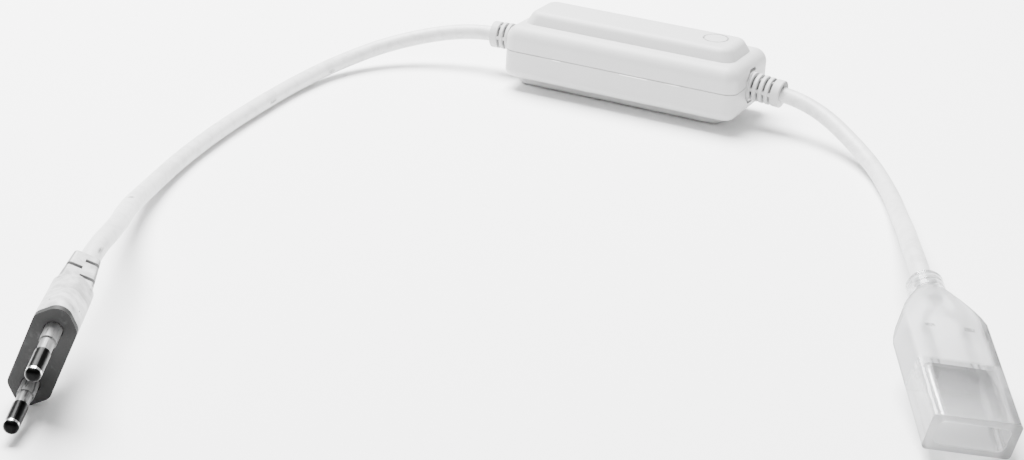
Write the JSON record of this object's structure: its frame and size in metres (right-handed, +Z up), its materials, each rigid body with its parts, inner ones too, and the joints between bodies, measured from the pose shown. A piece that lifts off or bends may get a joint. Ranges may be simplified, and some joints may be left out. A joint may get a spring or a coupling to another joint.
{
  "type": "mains lead with led strip controller",
  "caption": "White mains lead for a flexible light strip: flat two-pin plug, small sealed box with ribbed strain reliefs, and a clear cap that slides over the strip's end",
  "frame": {"origin": "middle of the underside of the box, on the surface that it stands on", "axes": "+X along the box towards the output lead, +Z up; both leads come round to the -Y side"},
  "size_m": [0.3013, 0.345, 0.0305],
  "materials": {
    "shell_white": "satin moulded white",
    "relief_white": "soft moulded white",
    "cable_white": "smooth soft white jacket",
    "plug_white": "satin moulded white",
    "face_grey": "fine matt grey",
    "sleeve_grey": "glossy pale grey",
    "pin_nickel": "bright nickel plate",
    "cap_clear": "clear soft plastic, slightly milky",
    "contact_tin": "tinned",
    "wire_white": "smooth insulation",
    "crimp_tin": "tinned",
    "wire_brown": "smooth insulation",
    "wire_blue": "smooth insulation",
    "wire_red": "smooth insulation",
    "wire_black": "smooth insulation",
    "board_green": "green solder resist",
    "rectifier_black": "moulded black",
    "capacitor_red": "dipped dark red",
    "fuse_glass": "clear tube",
    "fuse_metal": "plated cap"
  },
  "bodies": {
    "root": {"upper_shell": "shell_white", "lower_shell": "shell_white", "input_relief": "relief_white", "output_relief": "relief_white", "input_cable": "cable_white", "output_cable": "cable_white", "circuit_board": "board_green", "bridge_rectifier": "rectifier_black", "film_capacitor": "capacitor_red", "fuse_glass": "fuse_glass", "fuse_front_cap": "fuse_metal", "fuse_back_cap": "fuse_metal", "live_wire": "wire_brown", "neutral_wire": "wire_blue", "positive_wire": "wire_red", "negative_wire": "wire_black", "plug_body": "plug_white", "pin_bridge": "face_grey", "live_pin": "pin_nickel", "neutral_pin": "pin_nickel", "live_sleeve": "sleeve_grey", "neutral_sleeve": "sleeve_grey", "live_crimp": "crimp_tin", "neutral_crimp": "crimp_tin", "plug_live_wire": "wire_brown", "plug_neutral_wire": "wire_blue", "strip_cap": "cap_clear", "positive_contact": "contact_tin", "negative_contact": "contact_tin", "cap_positive_wire": "wire_white", "cap_negative_wire": "wire_white"}
  },
  "joints": []
}
